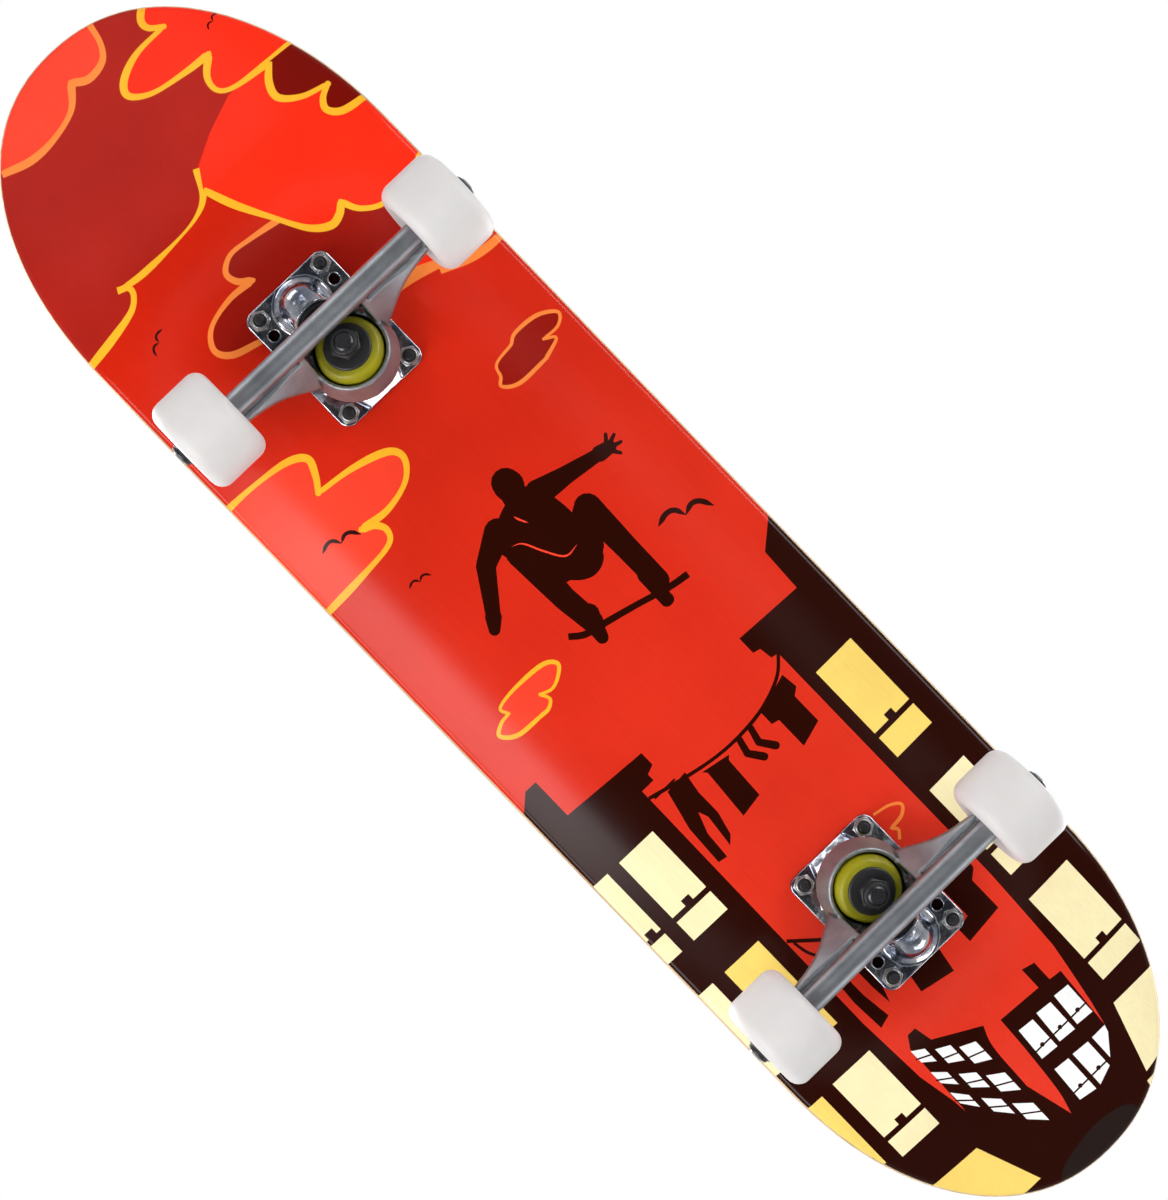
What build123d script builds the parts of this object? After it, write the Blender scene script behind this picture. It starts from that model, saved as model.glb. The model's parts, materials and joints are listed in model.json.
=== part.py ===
from build123d import *
from math import asin, cos, degrees, radians, sin, sqrt
import os

# A complete skateboard standing on its wheels. +X points at the nose, +Y to the rider's left, +Z up.
# The origin is on the ground under the middle of the deck. All lengths are in millimetres.

# Deck
DECK_LENGTH = 785.0
DECK_WIDTH = 195.0
END_LENGTH = 144.0  # the rounded stretch of the outline at each end
END_POWER = 2.15  # 2 is an ellipse, more is squarer
PLY_COUNT = 7
PLY = 1.6
GRIP = 1.0
EDGE_ROUND = 3.5  # rounding of the deck's upper and lower edges
UNDERSIDE = 79.0  # height of the deck's flat underside above the ground
FLAT_HALF = 28.0  # half-width of the flat strip along the middle
CONCAVE_RISE = 10.0  # how far the rails stand above the flat strip
NOSE_BEND = 222.0  # where the nose starts to bend up
TAIL_BEND = -252.0
BEND_RADIUS = 180.0
KICK_ANGLE = 20.0

# Trucks: local frame with its origin on the deck's underside at the middle of the bolt pattern,
# +X outwards to the near end of the deck and +Z up
FRONT_TRUCK_X = 177.8
REAR_TRUCK_X = -210.5
BOLT_SPACING_X = 63.5
INNER_HOLE_X = 22.2  # the second, shorter pattern's holes, left empty
BOLT_SPACING_Y = 41.3
BOLT_RADIUS = 2.4
BOLT_HOLE_RADIUS = 2.6
BOLT_HEAD_RADIUS = 4.7
BOLT_HEAD_TOP = 12.0
BOLT_END = -13.0
BOLT_NUT_FLATS = 9.5
BOLT_NUT_HEIGHT = 6.0
PLATE_LENGTH = 76.0
PLATE_WIDTH = 54.5
PLATE_MIDDLE_X = 0.6
FLANGE = 5.0
AXLE_X = 5.0
AXLE_Z = -53.0

# Kingpin and steering axis
RING_X = -13.6  # middle of the hanger's ring, where the two axes cross
RING_Z = -27.0
KINGPIN_TILT = 12.0  # the nut end leans outwards
KINGPIN_RADIUS = 4.76
KINGPIN_HEAD_RADIUS = 7.5
PIVOT_TILT = 28.0  # the steering axis rises outwards from the ring to the pivot cup
RING_RADIUS = 23.5
RIM_RADIUS = 20.0  # the ring narrows to the rim that stands round the road-side bushing
RIM = 4.0  # how far the rim stands above the bushing's seat
RING_HOLE_RADIUS = 9.5
RING_HALF = 4.5
DECK_BUSHING = 12.5
ROAD_BUSHING = 9.5
BUSHING_RADIUS = 17.0
BUSHING_END_RADIUS = 15.5
BUSHING_GAP = 0.1  # between a bushing and the metal it is squeezed against
CUP_WASHER_RADIUS = 12.0
CUP_WASHER = 1.5
KINGPIN_NUT_FLATS = 14.3
KINGPIN_NUT = 9.0
CAVITY_RADIUS = 18.0  # room in the hanger for the road-side bushing and nut
PIVOT_REACH = 34.0  # from the ring's middle to the middle of the pivot's ball
PIVOT_RADIUS = 5.0
PIVOT_CUP_BORE = 5.1
PIVOT_CUP_RADIUS = 8.0
PIVOT_LIP_RADIUS = 9.2
PIVOT_LIP = 31.0  # where the base plate's pivot socket opens, from the ring's middle
BOSS_RADIUS = 11.5  # the base plate's boss round the pivot cup
BOSS_LENGTH = 10.0  # its straight part, before its domed end
BOSS_SKIRT = 15.0  # radius of the flare where the boss meets the flange

# Hanger, axle and wheels
HANGER_HALF = 63.0
BEAM_RADIUS = 6.2
CREASE_RADIUS = 2.0  # of the groove between the beam and each wing
AXLE_RADIUS = 3.975
AXLE_HALF = 96.0
WHEEL_RADIUS = 26.0
WHEEL_WIDTH = 33.0
WHEEL_Y = 76.0
WHEEL_CORNER = 7.0
BEARING_RADIUS = 11.0
BEARING_BORE = 4.0
BEARING_WIDTH = 7.0
SPACER = 10.0
SPACER_RADIUS = 5.2
RACE_WALL_OUT = 9.1
RACE_WALL_IN = 5.95
BALL_RADIUS = 1.984
BALL_CIRCLE = 7.5
BALL_COUNT = 7
GROOVE_RADIUS = 2.05
SPEED_WASHER = 1.0
SPEED_WASHER_RADIUS = 6.8
AXLE_NUT_FLATS = 12.7
AXLE_NUT = 6.0

DECK_TOP = PLY_COUNT * PLY
KINGPIN_SEAT = -(RING_HALF + DECK_BUSHING + CUP_WASHER)  # along the kingpin from the ring's middle
CONCAVE_RUN = DECK_WIDTH / 2 - FLAT_HALF
CONCAVE_RADIUS = (CONCAVE_RUN**2 + CONCAVE_RISE**2) / (2 * CONCAVE_RISE)

RING = Vector(RING_X, 0, RING_Z)
DOWN_KINGPIN = Vector(sin(radians(KINGPIN_TILT)), 0, -cos(radians(KINGPIN_TILT)))
TO_PIVOT = Vector(cos(radians(PIVOT_TILT)), 0, sin(radians(PIVOT_TILT)))
ACROSS = Vector(0, 1, 0)

FRONT_TRUCK = Pos(FRONT_TRUCK_X, 0, UNDERSIDE)
REAR_TRUCK = Pos(REAR_TRUCK_X, 0, UNDERSIDE) * Rot(0, 0, 180)
TRUCKS = {"front": FRONT_TRUCK, "rear": REAR_TRUCK}

# How a solid stands on its frame's origin: on it, or hanging from it
BASE = (Align.CENTER, Align.CENTER, Align.MIN)
TOP_DOWN = (Align.CENTER, Align.CENTER, Align.MAX)


def save(shape, node):
    shape.label = node
    export_step(shape, f"parts/{node}.step")


def group(shapes):
    """Several separate solids that share a node."""
    return Compound(children=[solid for shape in shapes for solid in shape.solids()])


# ---------------------------------------------------------------- deck


def end_curve(side, inset):
    """The outline of one end, from one rail round the tip to the other, as a superellipse."""
    half = DECK_WIDTH / 2 - inset
    root = side * (DECK_LENGTH / 2 - END_LENGTH)
    length = END_LENGTH - inset
    steps = 16
    points = []
    for step in range(steps + 1):
        turn = radians(180 * step / steps - 90)
        reach = length * max(cos(turn), 0) ** (2 / END_POWER)
        across = half * abs(sin(turn)) ** (2 / END_POWER)
        points.append((root + side * reach, across if turn > 0 else -across))
    return Spline(*points, tangents=[(side, 0), (-side, 0)])


def outline(inset=0.0):
    nose = end_curve(1, inset)
    tail = end_curve(-1, inset)
    rails = [Line(nose @ 1, tail @ 1), Line(nose @ 0, tail @ 0)]
    return make_face([nose, tail, *rails])


def layer_section(low, high):
    """Section across the deck between two heights: a flat strip with an arc up to each rail."""
    reach = degrees(asin((CONCAVE_RUN + 10) / CONCAVE_RADIUS))
    edges = []
    for height in (low, high):
        radius = CONCAVE_RADIUS - height
        edges.append(Line((-FLAT_HALF, height), (FLAT_HALF, height)))
        edges.append(CenterArc((FLAT_HALF, CONCAVE_RADIUS), radius, -90, reach))
        edges.append(CenterArc((-FLAT_HALF, CONCAVE_RADIUS), radius, -90, -reach))
    edges.append(Line(edges[1] @ 1, edges[4] @ 1))
    edges.append(Line(edges[2] @ 1, edges[5] @ 1))
    return Plane.YZ * make_face(edges)


def deck_layer(low, high, inset=0.0):
    """One layer of the deck, bent up at both ends and cut to the outline."""
    section = layer_section(low, high)
    start = Pos(TAIL_BEND, 0, 0) * section
    layer = extrude(start, NOSE_BEND - TAIL_BEND, dir=(1, 0, 0))
    for bend, side in ((NOSE_BEND, 1), (TAIL_BEND, -1)):
        axis = Axis((bend, 0, BEND_RADIUS), (0, -side, 0))
        start = Pos(bend, 0, 0) * section
        turned = start.rotate(axis, KICK_ANGLE)
        kick = (side * cos(radians(KICK_ANGLE)), 0, sin(radians(KICK_ANGLE)))
        layer += revolve(start, axis, KICK_ANGLE)
        layer += extrude(turned, END_LENGTH, dir=kick)
    return layer & extrude(outline(inset), 200)


def bolt_places():
    """Where each deck bolt stands in a truck's frame."""
    return GridLocations(BOLT_SPACING_X, BOLT_SPACING_Y, 2, 2)


def bolt_holes():
    """Everything cut from the deck for the bolts: straight holes with countersinks at the top."""
    hole = Pos(0, 0, -1) * Cylinder(BOLT_HOLE_RADIUS, 30, align=BASE)
    depth = BOLT_HEAD_RADIUS - BOLT_RADIUS
    sink = Pos(0, 0, BOLT_HEAD_TOP - depth) * Cone(
        BOLT_RADIUS + 0.1, BOLT_HEAD_RADIUS + 0.1, depth, align=BASE
    )
    above = Pos(0, 0, BOLT_HEAD_TOP) * Cylinder(BOLT_HEAD_RADIUS + 0.1, 3, align=BASE)
    cutter = hole + sink + above
    holes = []
    for x, turn in ((FRONT_TRUCK_X, 0), (REAR_TRUCK_X, 180)):
        for place in bolt_places():
            holes.append(Pos(x, 0, 0) * Rot(0, 0, turn) * place * cutter)
    return holes



def edge_inset(depth):
    """How far the rounded edge has come in at a depth below the deck's nearer face."""
    if depth >= EDGE_ROUND:
        return 0.0
    return EDGE_ROUND - sqrt(EDGE_ROUND**2 - (EDGE_ROUND - depth) ** 2)


def ply(number):
    low = (number - 1) * PLY
    middle = low + PLY / 2
    inset = edge_inset(min(middle, DECK_TOP - middle))
    return Pos(0, 0, UNDERSIDE) * (deck_layer(low, low + PLY, inset) - bolt_holes())


def grip_tape():
    layer = deck_layer(DECK_TOP, DECK_TOP + GRIP, EDGE_ROUND / 2)
    return Pos(0, 0, UNDERSIDE) * (layer - bolt_holes())


# ---------------------------------------------------------------- fasteners


def hex_nut(flats, height, bore):
    """A lock nut standing on z = 0: a hexagon with chamfered corners and a collar over its insert."""
    prism = extrude(RegularPolygon(flats / 2, 6, major_radius=False), height * 0.75)
    corner = flats / sqrt(3)
    slope = corner - flats / 2
    cone = Pos(0, 0, height * 0.75) * Cone(corner + 2 * slope, flats / 2 - 0.2, 3 * slope, align=TOP_DOWN)
    collar = Cylinder(flats / 2 - 0.6, height, align=BASE)
    collar = fillet(collar.edges().sort_by(Axis.Z)[-1], 0.6)
    return (prism & cone) + collar - Cylinder(bore, 3 * height)



def truck_bolt():
    """A countersunk machine screw with a cross recess, head up."""
    depth = BOLT_HEAD_RADIUS - BOLT_RADIUS
    head = Pos(0, 0, BOLT_HEAD_TOP - depth) * Cone(BOLT_RADIUS, BOLT_HEAD_RADIUS, depth, align=BASE)
    shank = Pos(0, 0, BOLT_END) * Cylinder(BOLT_RADIUS, BOLT_HEAD_TOP - depth - BOLT_END, align=BASE)
    shank = chamfer(shank.edges().sort_by(Axis.Z)[0], 0.4)
    slot = Pos(0, 0, BOLT_HEAD_TOP - 1) * (Box(4.6, 1.1, 2.1) + Box(1.1, 4.6, 2.1))
    return head + shank - slot


def along_kingpin(start):
    """A frame on the kingpin, start from the ring's middle, with +Z towards the nut end."""
    return Plane(RING + DOWN_KINGPIN * start, x_dir=ACROSS, z_dir=DOWN_KINGPIN)


def along_pivot(start):
    """A frame on the steering axis with +Z towards the pivot cup."""
    return Plane(RING + TO_PIVOT * start, x_dir=ACROSS, z_dir=TO_PIVOT)


def kingpin():
    """The large bolt that carries the bushings, its head sunk in the base plate."""
    head_start = KINGPIN_SEAT - 6.5
    nut_end = RING_HALF + ROAD_BUSHING + CUP_WASHER + KINGPIN_NUT
    head = Cylinder(KINGPIN_HEAD_RADIUS, 4, align=BASE)
    shank = Cylinder(KINGPIN_RADIUS, nut_end + 1.2 - head_start, align=BASE)
    shank = chamfer(shank.edges().sort_by(Axis.Z)[-1], 0.8)
    return along_kingpin(head_start) * (head + shank)


def kingpin_nut():
    nut = hex_nut(KINGPIN_NUT_FLATS, KINGPIN_NUT, KINGPIN_RADIUS + 0.02)
    return along_kingpin(RING_HALF + ROAD_BUSHING + CUP_WASHER) * nut


def cup_washer():
    """A washer with a turned rim, its flat back on z = 0 and its rim reaching up over the bushing."""
    disc = Cylinder(CUP_WASHER_RADIUS, CUP_WASHER, align=BASE)
    disc = fillet(disc.edges().sort_by(Axis.Z)[0], 1.0)
    return disc - Cylinder(KINGPIN_RADIUS + 0.15, 10)


def deck_side_cup_washer():
    return along_kingpin(KINGPIN_SEAT) * cup_washer()


def road_side_cup_washer():
    back = RING_HALF + ROAD_BUSHING + CUP_WASHER
    return along_kingpin(back) * Rot(180, 0, 0) * cup_washer()


# ---------------------------------------------------------------- truck


def bushing(height):
    """A urethane cone standing on its wide end, which sits on the hanger's ring."""
    wide = BUSHING_RADIUS
    profile = make_face(
        Polyline(
            (KINGPIN_RADIUS + 0.25, BUSHING_GAP),
            (wide - 1, BUSHING_GAP),
            (wide, 1.2),
            (wide, height * 0.3),
            (BUSHING_END_RADIUS, height - 1.2),
            (BUSHING_END_RADIUS - 1.2, height - BUSHING_GAP),
            (KINGPIN_RADIUS + 0.25, height - BUSHING_GAP),
            close=True,
        )
    )
    return revolve(Plane.XZ * profile, Axis.Z)


def deck_side_bushing():
    return along_kingpin(-RING_HALF) * Rot(180, 0, 0) * bushing(DECK_BUSHING)


def road_side_bushing():
    return along_kingpin(RING_HALF) * bushing(ROAD_BUSHING)


def baseplate():
    """The cast plate: a flange, the kingpin's seat on a flared hump, and the pivot socket's boss."""
    seat = RING + DOWN_KINGPIN * KINGPIN_SEAT
    slope = sin(radians(KINGPIN_TILT)) / cos(radians(KINGPIN_TILT))
    inner = PLATE_MIDDLE_X - PLATE_LENGTH / 2
    outer = PLATE_MIDDLE_X + PLATE_LENGTH / 2
    flange = Pos(PLATE_MIDDLE_X, 0, 0) * extrude(RectangleRounded(PLATE_LENGTH, PLATE_WIDTH, 6), -FLANGE)

    # The hump: its flanks flare from the inner edge to the seat, and its top follows the tilted seat
    flanks = Polyline(
        (inner, -10.5), (-27, -14), (-16, -22), (-4, -17), (-4, 17), (-16, 22), (-27, 14), (inner, 10.5),
        close=True,
    )
    hump = extrude(make_face(flanks), -20)
    top = Polyline(
        (inner, 0),
        (inner, -FLANGE),
        (-31, seat.Z + (-31 - seat.X) * slope + 1.5),
        (-27, seat.Z + (-27 - seat.X) * slope),
        (-4, seat.Z + (-4 - seat.X) * slope),
        (-4, 0),
        close=True,
    )
    hump &= extrude(Plane.XZ * make_face(top), 60, both=True)

    # The boss: a round socket along the steering axis with a domed end, flared where it meets the flange
    boss = along_pivot(PIVOT_LIP) * Cylinder(BOSS_RADIUS, BOSS_LENGTH, align=BASE)
    dome = RING + TO_PIVOT * (PIVOT_LIP + BOSS_LENGTH)
    boss += Pos(dome) * Sphere(BOSS_RADIUS)
    boss += Pos(dome.X, 0, -FLANGE) * Cone(BOSS_RADIUS - 1, BOSS_SKIRT, 4, align=TOP_DOWN)
    boss = split(boss, Plane.XY, keep=Keep.BOTTOM)

    plate = flange + hump + boss
    for place in bolt_places():
        plate -= place * Cylinder(BOLT_HOLE_RADIUS + 0.15, 60)
        plate -= place * Pos(0, 0, -FLANGE) * Cylinder(BOLT_NUT_FLATS / 2 + 1.3, 20, align=TOP_DOWN)
    for y in (-BOLT_SPACING_Y / 2, BOLT_SPACING_Y / 2):
        plate -= Pos(INNER_HOLE_X, y, 0) * Cylinder(BOLT_HOLE_RADIUS + 0.15, 60)
    plate -= along_kingpin(KINGPIN_SEAT - 20) * Cylinder(KINGPIN_RADIUS + 0.02, 30, align=BASE)
    plate -= along_kingpin(KINGPIN_SEAT - 22.5) * Cylinder(KINGPIN_HEAD_RADIUS + 0.1, 20, align=BASE)
    plate -= along_pivot(PIVOT_LIP - 20) * Cylinder(PIVOT_LIP_RADIUS + 0.2, 20, align=BASE)
    plate -= along_pivot(PIVOT_LIP - 20) * Cylinder(PIVOT_CUP_RADIUS + 0.05, 29.2, align=BASE)
    return plate


def pivot_cup():
    """The urethane cup that the hanger's pivot turns in."""
    cup = Cylinder(PIVOT_CUP_RADIUS, 9, align=BASE)
    cup += Pos(0, 0, -1.5) * Cylinder(PIVOT_LIP_RADIUS, 1.4, align=BASE)
    cup += Pos(0, 0, -0.1) * Cylinder(PIVOT_CUP_RADIUS, 0.2, align=BASE)
    ball = PIVOT_REACH - PIVOT_LIP
    cup -= Pos(0, 0, -5) * Cylinder(PIVOT_CUP_BORE, 5 + ball, align=BASE)
    cup -= Pos(0, 0, ball) * Sphere(PIVOT_CUP_BORE)
    return along_pivot(PIVOT_LIP) * cup


def wing_section(y, inner_x, inner_z, radius):
    """A slot-shaped section of the hanger's wing, from the beam up to a point nearer the ring."""
    run = Vector(inner_x - AXLE_X, inner_z - AXLE_Z)
    middle = Vector((inner_x + AXLE_X) / 2, (inner_z + AXLE_Z) / 2)
    tilt = degrees(asin(run.Y / run.length))
    slot = SlotCenterToCenter(run.length, 2 * radius, rotation=180 - tilt)
    plane = Plane((0, y, 0), x_dir=(1, 0, 0), z_dir=(0, -1, 0))
    return plane * Pos(middle.X, middle.Y) * slot


def hanger_bore():
    return Pos(AXLE_X, 0, AXLE_Z) * Rot(90, 0, 0) * Cylinder(AXLE_RADIUS, 2 * HANGER_HALF + 1)


def hanger():
    """The cast hanger: a beam for the axle, two wings that run in to the ring, and the pivot."""
    beam = Pos(AXLE_X, 0, AXLE_Z) * Rot(90, 0, 0) * Cylinder(BEAM_RADIUS, 2 * HANGER_HALF)
    beam = fillet(beam.edges().filter_by(GeomType.CIRCLE), 0.8)
    ring = along_kingpin(-RING_HALF) * Cone(RING_RADIUS, RIM_RADIUS, 2 * RING_HALF + RIM, align=BASE)

    # The wall that joins the ring to the beam behind the road-side bushing
    outer = RING + Vector(RING_RADIUS * cos(radians(KINGPIN_TILT)), 0, RING_RADIUS * sin(radians(KINGPIN_TILT)))
    inner = AXLE_X - BEAM_RADIUS + 1
    wall_shape = Polyline(
        (inner, AXLE_Z + 3), (inner, outer.Z - 2), (outer.X - 2, outer.Z + 3), (AXLE_X + 6, outer.Z - 2),
        (AXLE_X + 6, AXLE_Z), (AXLE_X, AXLE_Z), close=True,
    )
    wall = extrude(Plane.XZ * make_face(wall_shape), 23, both=True)

    hanger = ring + wall
    for side in (1, -1):
        sections = [
            wing_section(side * 19, RING_X + 2.5, RING_Z - 1.0, 4.6),
            wing_section(side * 27, RING_X + 4.5, RING_Z - 4.0, 4.6),
            wing_section(side * 36, -5.5, -40.0, 4.4),
            wing_section(side * 48, -2.0, -46.5, 4.6),
            wing_section(side * 61, 0.0, -50.0, 5.0),
        ]
        hanger += loft(sections)
    cavity = along_kingpin(RING_HALF) * Cylinder(CAVITY_RADIUS, 60, align=BASE)
    cavity &= Pos(AXLE_X + 0.8, 0, 0) * Box(100, 100, 200, align=(Align.MAX, Align.CENTER, Align.CENTER))
    above = along_kingpin(-RING_HALF - 60) * Cylinder(CAVITY_RADIUS, 60, align=BASE)
    stem = along_pivot(16) * Cone(10.5, 5.8, 12, align=BASE)
    pin = along_pivot(26) * Cylinder(PIVOT_RADIUS, PIVOT_REACH - 26, align=BASE)
    ball = along_pivot(PIVOT_REACH) * Sphere(PIVOT_RADIUS)
    hanger += stem
    hanger -= cavity
    hanger -= above
    hanger += beam + pin + ball
    for side in (1, -1):
        near = Vector(-2.6, side * 22, -51.4)
        far = Vector(-1.9, side * 63.5, -54.3)
        crease = Plane(near, z_dir=far - near) * Cylinder(CREASE_RADIUS, (far - near).length, align=BASE)
        hanger -= crease
    hanger -= along_kingpin(-30) * Cylinder(RING_HOLE_RADIUS, 36, align=BASE)
    hanger -= hanger_bore()
    return hanger


def axle():
    rod = Cylinder(AXLE_RADIUS, 2 * AXLE_HALF)
    rod = chamfer(rod.edges().filter_by(GeomType.CIRCLE), 0.6)
    return Pos(AXLE_X, 0, AXLE_Z) * Rot(90, 0, 0) * rod


# ---------------------------------------------------------------- wheels
# A wheel's own frame has +Z along the axle, outwards, and its origin at the middle of the wheel.


def wheel_frame(side):
    return Pos(AXLE_X, side * WHEEL_Y, AXLE_Z) * Rot(-90 * side, 0, 0)


def wheel():
    """The urethane wheel: a tread with round shoulders, dished sides and a stepped bore."""
    half = WHEEL_WIDTH / 2
    seat = SPACER / 2 + BEARING_WIDTH
    lip = WHEEL_RADIUS - WHEEL_CORNER
    profile = [
        Line((WHEEL_RADIUS, half - WHEEL_CORNER), (WHEEL_RADIUS, WHEEL_CORNER - half)),
    ]
    for side in (1, -1):
        centre = (lip, side * (half - WHEEL_CORNER))
        profile.append(CenterArc(centre, WHEEL_CORNER, 0, side * 90))
        profile.append(
            Polyline(
                (lip, side * half),
                (lip - 3.5, side * half),
                (BEARING_RADIUS + 1.2, side * (seat + 0.3)),
                (BEARING_RADIUS, side * (seat + 0.3)),
                (BEARING_RADIUS, side * SPACER / 2),
                (RACE_WALL_OUT + 0.3, side * SPACER / 2),
            )
        )
    bore = RACE_WALL_OUT + 0.3
    profile.append(Line((bore, SPACER / 2), (bore, -SPACER / 2)))
    return revolve(Plane.XZ * make_face(profile), Axis.Z)


def bearing_places():
    offset = (SPACER + BEARING_WIDTH) / 2
    return [Pos(0, 0, offset), Pos(0, 0, -offset) * Rot(180, 0, 0)]


def ball_groove():
    return Torus(BALL_CIRCLE, GROOVE_RADIUS)


def outer_race():
    ring = Cylinder(BEARING_RADIUS, BEARING_WIDTH) - Cylinder(RACE_WALL_OUT, BEARING_WIDTH)
    return ring - ball_groove()


def inner_race():
    ring = Cylinder(RACE_WALL_IN, BEARING_WIDTH) - Cylinder(BEARING_BORE, BEARING_WIDTH)
    return ring - ball_groove()


def ball_ring(radius):
    return [loc * Sphere(radius) for loc in PolarLocations(BALL_CIRCLE, BALL_COUNT)]


def cage():
    """The crown that keeps the balls apart, open on the shield's side."""
    ring = Cylinder(BALL_CIRCLE + 1.0, 3.0, align=TOP_DOWN) - Cylinder(BALL_CIRCLE - 1.0, 20)
    ring = Pos(0, 0, 0.3) * ring
    for pocket in ball_ring(BALL_RADIUS + 0.08):
        ring -= pocket
    return ring


def shield():
    """The thin disc on a bearing's outer side, held in the outer race."""
    disc = Cylinder(RACE_WALL_OUT - 0.02, 0.3) - Cylinder(RACE_WALL_IN + 0.25, 2)
    return Pos(0, 0, BEARING_WIDTH / 2 - 0.45) * disc


def spacer():
    return Cylinder(SPACER_RADIUS, SPACER) - Cylinder(BEARING_BORE + 0.05, SPACER)


def speed_washers():
    ring = Cylinder(SPEED_WASHER_RADIUS, SPEED_WASHER) - Cylinder(BEARING_BORE + 0.1, SPEED_WASHER)
    offset = SPACER / 2 + BEARING_WIDTH + SPEED_WASHER / 2
    return [Pos(0, 0, offset) * ring, Pos(0, 0, -offset) * ring]


def axle_nut():
    start = SPACER / 2 + BEARING_WIDTH + SPEED_WASHER
    return Pos(0, 0, start) * hex_nut(AXLE_NUT_FLATS, AXLE_NUT, BEARING_BORE + 0.01)


def at_both_trucks(shapes):
    return group([truck * shape for truck in TRUCKS.values() for shape in shapes])


def main():
    os.makedirs("parts", exist_ok=True)
    for number in range(1, PLY_COUNT + 1):
        save(ply(number), f"ply_{number}")
    save(grip_tape(), "grip_tape")

    nut = hex_nut(BOLT_NUT_FLATS, BOLT_NUT_HEIGHT, BOLT_RADIUS + 0.02)
    nut = Pos(0, 0, -FLANGE) * Rot(180, 0, 0) * nut
    save(at_both_trucks([place * truck_bolt() for place in bolt_places()]), "truck_bolts")
    save(at_both_trucks([place * nut for place in bolt_places()]), "truck_nuts")
    save(at_both_trucks([kingpin()]), "kingpins")
    save(at_both_trucks([kingpin_nut()]), "kingpin_nuts")
    save(at_both_trucks([deck_side_cup_washer()]), "deck_side_cup_washers")
    save(at_both_trucks([road_side_cup_washer()]), "road_side_cup_washers")

    for end, truck in TRUCKS.items():
        save(truck * baseplate(), f"{end}_baseplate")
        save(truck * pivot_cup(), f"{end}_pivot_cup")
        save(truck * deck_side_bushing(), f"{end}_deck_side_bushing")
        save(truck * road_side_bushing(), f"{end}_road_side_bushing")
        save(truck * hanger(), f"{end}_hanger")
        save(truck * axle(), f"{end}_axle")
        wheels = [truck * wheel_frame(side) for side in (1, -1)]
        save(group([place * axle_nut() for place in wheels]), f"{end}_axle_nuts")
        save(group([place * w for place in wheels for w in speed_washers()]), f"{end}_speed_washers")
        for place in wheels:
            hand = "left" if place.position.Y > 0 else "right"
            name = f"{end}_{hand}"
            bearings = [place * bearing for bearing in bearing_places()]
            balls = [spot * ball for spot in bearings for ball in ball_ring(BALL_RADIUS)]
            save(place * wheel(), f"{name}_wheel")
            save(group([spot * outer_race() for spot in bearings]), f"{name}_outer_races")
            save(group([spot * inner_race() for spot in bearings]), f"{name}_inner_races")
            save(group(balls), f"{name}_balls")
            save(group([spot * cage() for spot in bearings]), f"{name}_cages")
            save(group([spot * shield() for spot in bearings]), f"{name}_shields")
            save(place * spacer(), f"{name}_spacer")


main()
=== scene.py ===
import json
import math

import bmesh
import bpy
import numpy as np
from mathutils import Matrix, Vector
from mathutils.geometry import delaunay_2d_cdt


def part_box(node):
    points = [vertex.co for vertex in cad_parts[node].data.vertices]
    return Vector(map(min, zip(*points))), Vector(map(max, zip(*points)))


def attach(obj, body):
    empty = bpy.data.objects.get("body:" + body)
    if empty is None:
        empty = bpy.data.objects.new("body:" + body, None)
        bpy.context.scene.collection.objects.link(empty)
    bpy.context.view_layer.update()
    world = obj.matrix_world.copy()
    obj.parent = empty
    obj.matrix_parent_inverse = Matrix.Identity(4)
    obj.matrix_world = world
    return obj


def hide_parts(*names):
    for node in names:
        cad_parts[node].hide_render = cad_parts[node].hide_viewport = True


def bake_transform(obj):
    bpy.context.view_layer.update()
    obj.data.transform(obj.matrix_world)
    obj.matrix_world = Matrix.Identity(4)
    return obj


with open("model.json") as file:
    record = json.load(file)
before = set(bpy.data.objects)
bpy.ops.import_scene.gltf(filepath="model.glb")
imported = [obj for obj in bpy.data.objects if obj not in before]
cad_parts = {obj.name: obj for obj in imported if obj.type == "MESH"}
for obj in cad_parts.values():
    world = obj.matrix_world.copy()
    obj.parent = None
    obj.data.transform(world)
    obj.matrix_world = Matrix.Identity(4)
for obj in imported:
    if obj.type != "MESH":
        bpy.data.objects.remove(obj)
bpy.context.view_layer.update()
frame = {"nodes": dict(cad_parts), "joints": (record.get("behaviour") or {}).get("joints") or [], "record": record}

MM = 0.001
ENDS = ("front", "rear")
HANDS = ("left", "right")

# The deck's shape, in millimetres, as the CAD plies have it
PLY = 1.6
PLIES = 7
DECK_TOP = PLY * PLIES
EDGE_ROUND = 3.5
FLAT_HALF = 28.0
CONCAVE_RISE = 10.0
NOSE_BEND = 222.0
TAIL_BEND = -252.0
BEND_RADIUS = 180.0
KICK = math.radians(20.0)
END_LENGTH = 144.0
END_POWER = 2.15
PRINT_EDGE = 1.0  # how far the print stops short of the outline
BOLT_HOLE = 2.6
SHARP = math.radians(40.0)  # edges bent more than this stay sharp
EDGE_LEVELS = 5  # rings of points over a veneer's rounded edge
VENEER_SPACING = 9.0  # how far apart the points over a veneer's face are
PRINT_SPACING = 7.0  # and over the print

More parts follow.
